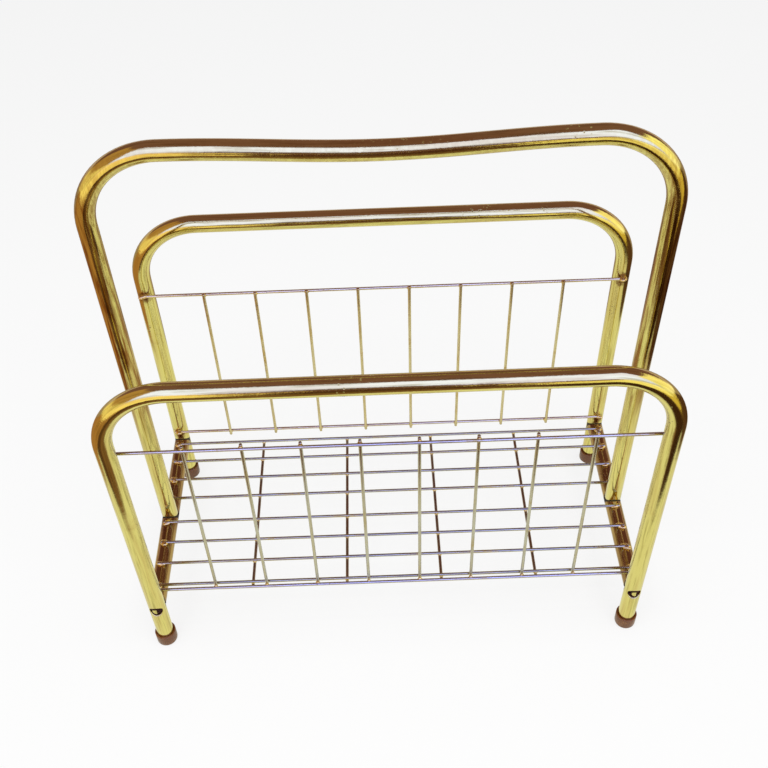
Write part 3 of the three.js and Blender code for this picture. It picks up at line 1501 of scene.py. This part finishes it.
@dataclass
class WireWork:
    """The wires of the base and of both panels, and the welds that join them."""

    sizes: Sizes
    shop: Workshop
    sides: int = 20
    end_rounding: float = 0.35 * MM
    end_steps: int = 3
    crease_angle: float = 50
    weld_width: float = 3.3 * MM
    weld_thickness: float = 2.6 * MM
    tube_weld_length: float = 9.0 * MM
    weld_segments: int = 14
    weld_rings: int = 8
    weld_offset: float = 0.8
    weld_spread: float = 0.12
    weld_roughness: float = 0.05 * MM
    seed: int = 7
    shake: random.Random = field(init=False)

    def __post_init__(self) -> None:
        """Starts the seeded unevenness of the welds."""
        self.shake = random.Random(self.seed)

    def build(self) -> None:
        """Makes every wire, and then the welds of each grid."""
        finishes = {
            "base_wire": self.shop.base_wire,
            "base_cross": self.shop.cross_wire,
            "front_panel": self.shop.front_wire,
            "front_upright": self.shop.front_wire,
            "rear_panel": self.shop.rear_wire,
            "rear_upright": self.shop.rear_wire,
        }
        for start, finish in finishes.items():
            nodes = [n for n in sorted(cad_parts) if n.startswith(start)]
            self.wires(nodes, finish)
        self.base_welds()
        for end in End:
            self.panel_welds(end)

    def wires(self, nodes: list[str], finish: bpy.types.Material) -> None:
        """Straight wires of one length with sheared ends, all copied from the same rod.

        Args:
            nodes: the CAD nodes of the wires, which lie the same way.
            finish: their finish.
        """
        low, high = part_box(nodes[0])
        size = high - low
        axis = max(range(3), key=lambda i: size[i])
        half = Vector()
        half[axis] = size[axis] / 2
        blank = round_bar("wire_blank", self.sizes.wire_radius, -half, half, self.sides)
        soften(blank, self.end_rounding, self.end_steps)
        smooth(blank, self.crease_angle)
        for node in nodes:
            middle = sum(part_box(node), Vector()) / 2
            piece = copy_of(blank, f"{node}_rod", Matrix.Translation(middle))

            def unroll(point: Vector, middle: Vector = middle) -> Vector:
                """Where a point lies across the wire, and along it.

                Args:
                    point: a point of the wire.
                    middle: the wire's middle.

                Returns:
                    Two distances across the wire and one along it.
                """
                offset = point - middle
                along = offset[axis] + GRAIN_SHIFT * (middle.x + middle.y + middle.z)
                return Vector((offset[(axis + 1) % 3], offset[(axis + 2) % 3], along))

            lay_grain(piece, unroll)
            self.shop.hand_over(piece, finish, Slot.WIRE, node)
        bpy.data.objects.remove(blank)

    def bead_blank(self) -> bpy.types.Object:
        """The one lump of weld that all are copied from: 1 mm across, a little uneven.

        Returns:
            The lump, at the origin.
        """
        bpy.ops.mesh.primitive_uv_sphere_add(
            segments=self.weld_segments, ring_count=self.weld_rings, radius=MM / 2
        )
        piece = fresh("bead_blank")
        with editing(piece):
            bpy.ops.mesh.select_all(action="SELECT")
            bpy.ops.transform.vertex_random(offset=self.weld_roughness, seed=self.seed)
        return piece

    def bead(self, blank: bpy.types.Object, place: Vector, size: Vector) -> bpy.types.Object:
        """One lump of weld, a copy of the blank turned and stretched to its place.

        Args:
            blank: the lump to copy.
            place: its middle.
            size: its length, depth and height.

        Returns:
            The lump.
        """
        turn = Matrix.Rotation(self.shake.uniform(0, math.tau), 4, "Z")
        least, most = 1 - self.weld_spread, 1 + self.weld_spread
        vary = Vector([self.shake.uniform(least, most) for _ in range(3)])
        stretch = Matrix.Diagonal((*[a * b / MM for a, b in zip(size, vary)], 1))
        return copy_of(blank, "weld", Matrix.Translation(place) @ stretch @ turn)

    def join(
        self, name: str, beads: list[bpy.types.Object], blank: bpy.types.Object
    ) -> None:
        """Joins a grid's lumps into one piece, hands it over and throws the blank away.

        Args:
            name: the piece's name.
            beads: the lumps.
            blank: the lump that they were copied from.
        """
        bpy.data.objects.remove(blank)
        pick(*beads)
        bpy.ops.object.join()
        piece = bpy.context.active_object
        piece.name = name
        piece.data.name = name
        pick(piece)
        bpy.ops.object.shade_smooth()
        self.shop.hand_over(piece, self.shop.weld, Slot.WIRE)

    def base_welds(self) -> None:
        """Welds where base wires cross each other and where they lie on the rails."""
        s = self.sizes
        blank = self.bead_blank()
        beads = []
        long_wires = [n for n in sorted(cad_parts) if n.startswith("base_wire")]
        cross_wires = [n for n in sorted(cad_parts) if n.startswith("base_cross")]
        for node in long_wires:
            low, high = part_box(node)
            y = (low.y + high.y) / 2
            for flank in Flank:
                z = low.z + self.weld_offset * s.wire_radius
                place = Vector((flank.value * s.half_width, y, z))
                size = Vector((self.tube_weld_length, self.weld_width, self.weld_thickness))
                beads.append(self.bead(blank, place, size))
            for other in cross_wires:
                cross_low, cross_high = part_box(other)
                x = (cross_low.x + cross_high.x) / 2
                place = Vector((x, y, (low.z + cross_high.z) / 2))
                size = Vector((self.weld_width, self.weld_width, self.weld_thickness))
                beads.append(self.bead(blank, place, size))
        self.join("base_welds", beads, blank)

    def panel_welds(self, end: End) -> None:
        """Welds of a panel's wires to each other and to the legs.

        Args:
            end: the face of the rack that the panel closes.
        """
        s = self.sizes
        blank = self.bead_blank()
        beads = []
        uprights = [n for n in sorted(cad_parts) if n.startswith(f"{end.word}_upright")]
        for edge in PANEL_EDGES:
            low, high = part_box(f"{end.word}_panel_{edge}_wire")
            z = (low.z + high.z) / 2
            outer_y = high.y if end is End.REAR else low.y
            inner_y = low.y if end is End.REAR else high.y
            for flank in Flank:
                y = outer_y - end.value * self.weld_offset * s.wire_radius
                place = Vector((flank.value * s.half_width, y, z))
                size = Vector((self.tube_weld_length, self.weld_thickness, self.weld_width))
                beads.append(self.bead(blank, place, size))
            for node in uprights:
                upright_low, upright_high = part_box(node)
                x = (upright_low.x + upright_high.x) / 2
                place = Vector((x, inner_y, z))
                size = Vector((self.weld_width, self.weld_thickness, self.weld_width))
                beads.append(self.bead(blank, place, size))
        self.join(f"{end.word}_panel_welds", beads, blank)


# ------------------------------------------------------------------------------ feet


@dataclass
class FootWork:
    """The four cap feet, each a thick cup pushed over a leg's end."""

    sizes: Sizes
    shop: Workshop
    base_thickness: float = 2.5 * MM
    fit_gap: float = 0.1 * MM
    bottom_rounding: float = 2.0 * MM
    bottom_steps: int = 6
    rim_rounding: float = 0.45 * MM
    rim_steps: int = 3
    crease_angle: float = 60
    sides: int = 64

    def build(self) -> None:
        """Makes one cup and puts a copy of it at each corner."""
        nodes = [f"foot_{end.word}_{flank.word}" for end in End for flank in Flank]
        blank = self.cup(*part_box(nodes[0]))
        for node in nodes:
            low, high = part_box(node)
            place = Matrix.Translation(((low.x + high.x) / 2, (low.y + high.y) / 2, low.z))
            piece = copy_of(blank, f"{node}_cap", place)
            self.shop.hand_over(piece, self.shop.foot, Slot.FOOT, node)
        bpy.data.objects.remove(blank)

    def cup(self, low: Vector, high: Vector) -> bpy.types.Object:
        """One cup at the origin: a turned blank, hollowed from above, with rounded edges.

        Args:
            low: the lowest corner of a foot's box.
            high: its highest corner.

        Returns:
            The cup.
        """
        radius = (high.x - low.x) / 2
        height = high.z - low.z
        bore = self.sizes.tube_radius + self.fit_gap
        piece = round_bar("foot_blank", radius, Vector(), Vector((0, 0, height)), self.sides)
        with editing(piece, "FACE"):
            choose(piece, lambda point: point.z > height - HAIR, "faces")
            bpy.ops.mesh.inset(thickness=radius - bore)
            depth = Vector((0, 0, self.base_thickness - height))
            bpy.ops.mesh.extrude_region_move(TRANSFORM_OT_translate={"value": depth})
        for test, radius, steps in (
            (lambda point: point.z < HAIR, self.bottom_rounding, self.bottom_steps),
            (lambda point: point.z > height - HAIR, self.rim_rounding, self.rim_steps),
        ):
            with editing(piece, "EDGE"):
                choose(piece, test, "edges")
                bpy.ops.mesh.bevel(offset=radius, segments=steps, clamp_overlap=True)
        face_outwards(piece)
        smooth(piece, self.crease_angle)
        return piece


# ------------------------------------------------------------------------------ fasteners


@dataclass
class FastenerWork:
    """The cross-recess screws, and the plain inserts they turn into."""

    sizes: Sizes
    shop: Workshop
    head_height: float = 2.6 * MM
    head_rounding: float = 1.2 * MM
    head_steps: int = 6
    tip_taper: float = 1.2 * MM
    tip_share: float = 0.5
    crease_angle: float = 35
    recess_width: float = 1.1 * MM
    recess_span: float = 4.6 * MM
    recess_depth: float = 1.3 * MM
    sides: int = 48

    def build(self) -> None:
        """Makes one screw, puts a copy of it in each place, and dresses every insert."""
        ways = {
            f"leg_screw_{end.word}_{flank.word}": Vector((0, -end.value, 0))
            for end in End
            for flank in Flank
        }
        ways |= {f"handle_screw_{flank.word}": Vector((0, 0, 1)) for flank in Flank}
        low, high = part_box("handle_screw_left")
        length = high.z - low.z
        blank = self.screw(length)
        for node, along in ways.items():
            middle = sum(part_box(node), Vector()) / 2
            turn = Vector((0, 0, 1)).rotation_difference(along).to_matrix().to_4x4()
            place = Matrix.Translation(middle - along * length / 2)
            piece = copy_of(blank, f"{node}_turned", place @ turn)
            self.shop.hand_over(piece, self.shop.screw, Slot.SCREW, node)
        bpy.data.objects.remove(blank)
        for node, piece in sorted(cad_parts.items()):
            if "insert" in node:
                piece.data.materials.clear()
                piece.data.materials.append(self.shop.insert)

    def screw(self, length: float) -> bpy.types.Object:
        """One pan-head screw, its crown at the origin and its shank pointing up.

        Args:
            length: its length over all.

        Returns:
            The screw.
        """
        head = self.sizes.screw_head_radius
        crown = Vector((0, 0, self.head_height))
        piece = round_bar("screw_blank", head, Vector(), crown, self.sides)
        shank = Vector((0, 0, length - self.head_height - self.tip_taper))
        tip = Vector((0, 0, self.tip_taper))
        with editing(piece, "FACE"):
            choose(piece, lambda point: point.z > self.head_height - HAIR, "faces")
            bpy.ops.mesh.inset(thickness=head - self.sizes.shank_radius)
            bpy.ops.mesh.extrude_region_move(TRANSFORM_OT_translate={"value": shank})
            bpy.ops.mesh.extrude_region_move(TRANSFORM_OT_translate={"value": tip})
            bpy.ops.transform.resize(value=(self.tip_share, self.tip_share, 1))
        with editing(piece, "EDGE"):
            choose(piece, lambda point: point.z < HAIR, "edges")
            bpy.ops.mesh.bevel(offset=self.head_rounding, segments=self.head_steps)
        self.cut_recess(piece)
        face_outwards(piece)
        smooth(piece, self.crease_angle)
        return piece

    def cut_recess(self, piece: bpy.types.Object) -> None:
        """Cuts a cross for the driver into the head.

        Args:
            piece: the screw, its head's crown at the origin.
        """
        for span_x, span_y in (
            (self.recess_span, self.recess_width),
            (self.recess_width, self.recess_span),
        ):
            bpy.ops.mesh.primitive_cube_add(size=1)
            cutter = fresh("cutter")
            with editing(cutter):
                bpy.ops.mesh.select_all(action="SELECT")
                bpy.ops.transform.resize(value=(span_x, span_y, 2 * self.recess_depth))
            subtract(piece, cutter)


# ------------------------------------------------------------------------------ studio


@dataclass(frozen=True)
class Patch:
    """One soft-edged patch of what polished metal sees, in degrees or metres each way."""

    first: tuple[float, float]
    second: tuple[float, float]
    colour: Colour

    def mask(self, wiring: Wiring, first: Socket, second: Socket, blur: float) -> Socket:
        """A mask that is 1 inside the patch.

        Args:
            wiring: the material's nodes.
            first: the first measure.
            second: the second measure.
            blur: the width of the patch's soft edge.

        Returns:
            The mask's socket.
        """
        made = None
        for measure, (low, high) in ((first, self.first), (second, self.second)):
            for edge, side in ((low, 1), (high, -1)):
                half = side * blur / 2
                part = wiring.window(measure, edge - half, edge + half)
                made = part if made is None else wiring.maths("MULTIPLY", made, part)
        return made


REAR_WALL = (0.6, 0.45, 0.5)
PALE_SHEET = (0.8, 0.77, 0.66)
FAR = 9.0


@dataclass
class Studio:
    """The pale floor, the soft overhead light, what polished metal reflects, and the camera."""

    floor_size: float = 8.0
    floor_colour: float = 0.95
    floor_roughness: float = 0.9
    pale: float = 0.947
    glow_share: float = 0.82
    fill: float = 0.55
    light_power: float = 24.0
    light_size: tuple[float, float] = (1.7, 1.12)
    light_place: tuple[float, float, float] = (0.0, -0.56, 1.6)
    camera_place: tuple[float, float, float] = (-0.0022, -0.5008, 0.6888)
    camera_heading: float = -0.013
    camera_pitch: float = -45.036
    camera_roll: float = -2.142
    focal_length: float = 46.9
    dome_radius: float = 3.9
    dome_segments: int = 48
    dome_rings: int = 24
    dome_colour: Colour = (0.19, 0.09, 0.10)
    dome_blur: float = 7.0
    dome_patches: tuple[Patch, ...] = (
        # The wall behind the rack, in two parts because headings start again at the rear.
        Patch((110, 250), (-10, 15), REAR_WALL),
        Patch((-180, -112), (-10, 15), REAR_WALL),
        # The brown wall on the left, and its lighter foot.
        Patch((-112, -40), (12, 58), (0.48, 0.27, 0.12)),
        Patch((-112, -48), (-10, 16), (0.95, 0.75, 0.4)),
        # Cool daylight high at the front, and warm light on the right, high and low.
        Patch((-42, 62), (10, 64), (1.05, 1.15, 3.2)),
        Patch((55, 110), (4, 40), (1.3, 1.2, 0.8)),
        Patch((20, 115), (-10, 8), (1.25, 1.15, 1.0)),
        # Warm light low at the front, and someone who stands before the rack.
        Patch((-48, -12), (-10, 12), (1.15, 0.85, 0.6)),
        Patch((-8, 6), (-10, 20), (0.16, 0.08, 0.07)),
    )
    mat_height: float = 1 * MM
    mat_colour: Colour = (0.1, 0.045, 0.025)
    mat_blur: float = 0.045
    mat_patches: tuple[Patch, ...] = (
        # Dim boards behind the rack and to its left.
        Patch((-FAR, FAR), (0.28, FAR), (0.4, 0.3, 0.25)),
        Patch((-FAR, -0.37), (-FAR, 0.28), (0.42, 0.2, 0.08)),
        # Sunlit boards in front on both sides, and golden ones on the right.
        Patch((-FAR, -0.18), (-FAR, -0.58), (1.1, 0.85, 0.45)),
        Patch((0.2, FAR), (-FAR, -0.6), (1.1, 0.95, 0.5)),
        Patch((0.5, FAR), (-0.7, -0.3), (0.7, 0.5, 0.12)),
        # Shade straight ahead, and nearer by, where it is darkest on the right.
        Patch((-0.3, 0.3), (-FAR, -1.0), (0.09, 0.03, 0.025)),
        Patch((-0.24, 0.14), (-0.5, -0.2), (0.2, 0.1, 0.05)),
        Patch((0.17, 0.42), (-0.5, -0.2), (0.05, 0.02, 0.01)),
        # The pale sheet that the rack stands on, with a fold that reaches forward.
        Patch((-0.37, 0.37), (-0.215, 0.27), PALE_SHEET),
        Patch((-0.04, 0.14), (-0.27, -0.1), PALE_SHEET),
    )

    def build(self) -> None:
        """Sets the whole studio up."""
        scene = bpy.context.scene
        scene.view_settings.view_transform = "Standard"
        self.camera()
        self.floor()
        self.world()
        self.light()
        self.reflection_dome()
        self.reflection_mat()

    def camera(self) -> None:
        """Puts the camera at its viewing angle."""
        heading, pitch, roll = (
            math.radians(a) for a in (self.camera_heading, self.camera_pitch, self.camera_roll)
        )
        ahead = Vector(
            (
                math.sin(heading) * math.cos(pitch),
                math.cos(heading) * math.cos(pitch),
                math.sin(pitch),
            )
        )
        level = Vector((math.cos(heading), -math.sin(heading), 0))
        upright = level.cross(ahead)
        right = level * math.cos(roll) + upright * math.sin(roll)
        up = upright * math.cos(roll) - level * math.sin(roll)
        data = bpy.data.cameras.new("camera")
        data.lens = self.focal_length
        camera = bpy.data.objects.new("camera", data)
        turn = Matrix((right, up, -ahead)).transposed().to_4x4()
        camera.matrix_world = Matrix.Translation(self.camera_place) @ turn
        bpy.context.scene.collection.objects.link(camera)
        bpy.context.scene.camera = camera

    def seen_directly(self, wiring: Wiring) -> Socket:
        """A mask that is 1 where the camera, a reflection or clear glass looks.

        Args:
            wiring: the nodes of the material or world that it is for.

        Returns:
            The mask's socket.
        """
        path = wiring.node("ShaderNodeLightPath")
        seen = path.outputs["Is Camera Ray"]
        for name in ("Is Glossy Ray", "Is Transmission Ray"):
            seen = wiring.maths("MAXIMUM", seen, path.outputs[name])
        return seen

    def floor(self) -> None:
        """A matt pale floor that keeps a soft shadow."""
        bpy.ops.mesh.primitive_plane_add(size=self.floor_size, location=(0, 0, 0))
        piece = fresh("floor")
        material = bpy.data.materials.new("pale_floor")
        material.use_nodes = True
        wiring = Wiring(material.node_tree)
        shader = wiring.tree.nodes["Principled BSDF"]
        shader.inputs["Base Color"].default_value = (*[self.floor_colour] * 3, 1)
        shader.inputs["Roughness"].default_value = self.floor_roughness
        shader.inputs["Specular IOR Level"].default_value = 0.0
        glow = wiring.node("ShaderNodeEmission")
        glow.inputs["Color"].default_value = (*[self.pale] * 3, 1)
        share = wiring.maths("MULTIPLY", self.seen_directly(wiring), self.glow_share)
        mix = wiring.node("ShaderNodeMixShader")
        wiring.link(share, mix.inputs["Fac"])
        wiring.link(shader.outputs["BSDF"], mix.inputs[1])
        wiring.link(glow.outputs["Emission"], mix.inputs[2])
        wiring.link(mix.outputs["Shader"], wiring.tree.nodes["Material Output"].inputs["Surface"])
        piece.data.materials.append(material)

    def world(self) -> None:
        """A pale surround, which lights the rack less than it shows."""
        world = bpy.data.worlds.new("pale_room")
        world.use_nodes = True
        bpy.context.scene.world = world
        wiring = Wiring(world.node_tree)
        wiring.tree.nodes.clear()
        mix = wiring.node("ShaderNodeMixShader")
        wiring.link(self.seen_directly(wiring), mix.inputs["Fac"])
        for slot, level in ((1, self.fill), (2, self.pale)):
            shown = wiring.node("ShaderNodeBackground")
            shown.inputs["Color"].default_value = (*[level] * 3, 1)
            wiring.link(shown.outputs["Background"], mix.inputs[slot])
        out = wiring.node("ShaderNodeOutputWorld")
        wiring.link(mix.outputs["Shader"], out.inputs["Surface"])

    def light(self) -> None:
        """One wide soft light overhead, a little to the front, which shows in no reflection."""
        data = bpy.data.lights.new("overhead_softbox", "AREA")
        data.shape = "RECTANGLE"
        data.size, data.size_y = self.light_size
        data.energy = self.light_power
        lamp = bpy.data.objects.new("overhead_softbox", data)
        lamp.location = self.light_place
        lamp.visible_glossy = False
        bpy.context.scene.collection.objects.link(lamp)

    def reflection_dome(self) -> None:
        """The room as polished metal sees it: windows, dim walls and a dark ceiling."""
        bpy.ops.mesh.primitive_uv_sphere_add(
            segments=self.dome_segments, ring_count=self.dome_rings, radius=self.dome_radius
        )
        piece = fresh("reflection_dome")
        wiring = self.reflection_only(piece)
        aim = wiring.node("ShaderNodeVectorMath", operation="NORMALIZE")
        wiring.link(wiring.node("ShaderNodeTexCoord").outputs["Object"], aim.inputs[0])
        x, y, z = wiring.split(aim.outputs[0])
        turn = wiring.maths("ARCTAN2", x, wiring.maths("MULTIPLY", y, -1.0))
        heading = wiring.maths("DEGREES", turn)
        rise = wiring.maths("DEGREES", wiring.maths("ARCSINE", z))
        self.patched(wiring, heading, rise, self.dome_colour, self.dome_patches, self.dome_blur)

    def reflection_mat(self) -> None:
        """The floor as polished metal sees it: a pale sheet under the rack, and dark boards."""
        bpy.ops.mesh.primitive_plane_add(size=self.floor_size, location=(0, 0, self.mat_height))
        piece = fresh("reflection_mat")
        wiring = self.reflection_only(piece)
        x, y, _ = wiring.split(wiring.node("ShaderNodeTexCoord").outputs["Object"])
        self.patched(wiring, x, y, self.mat_colour, self.mat_patches, self.mat_blur)

    def patched(
        self,
        wiring: Wiring,
        first: Socket,
        second: Socket,
        base: Colour,
        patches: tuple[Patch, ...],
        blur: float,
    ) -> None:
        """Makes a surface glow in patches of colour, later ones over earlier ones.

        Args:
            wiring: the material's nodes.
            first: the first measure of a place.
            second: the second measure.
            base: the colour where there is no patch.
            patches: the patches, in order.
            blur: the width of their soft edges.
        """
        colour: Colour | Socket = base
        for patch in patches:
            colour = wiring.tint(patch.mask(wiring, first, second, blur), colour, patch.colour)
        glow = wiring.node("ShaderNodeEmission")
        wiring.link(colour, glow.inputs["Color"])
        out = wiring.node("ShaderNodeOutputMaterial")
        wiring.link(glow.outputs["Emission"], out.inputs["Surface"])

    def reflection_only(self, piece: bpy.types.Object) -> Wiring:
        """Marks a stage piece that only reflections see, and gives it an empty material.

        Args:
            piece: the dome or the mat.

        Returns:
            The material's nodes.
        """
        material = bpy.data.materials.new(piece.name)
        material.use_nodes = True
        material.node_tree.nodes.clear()
        piece.data.materials.append(material)
        piece.visible_camera = False
        piece.visible_diffuse = False
        piece.visible_shadow = False
        piece.visible_transmission = False
        return Wiring(material.node_tree)


# ------------------------------------------------------------------------------ the rack


def main() -> None:
    """Builds the studio and the rack, sub-assembly by sub-assembly."""
    logging.basicConfig(level=logging.INFO, format="%(name)s: %(message)s")
    Studio().build()
    sizes = Sizes.from_frame()
    shop = Workshop(sizes)
    TubeWork(sizes, shop).build()
    WireWork(sizes, shop).build()
    FootWork(sizes, shop).build()
    FastenerWork(sizes, shop).build()


if __name__ == "__main__":
    main()
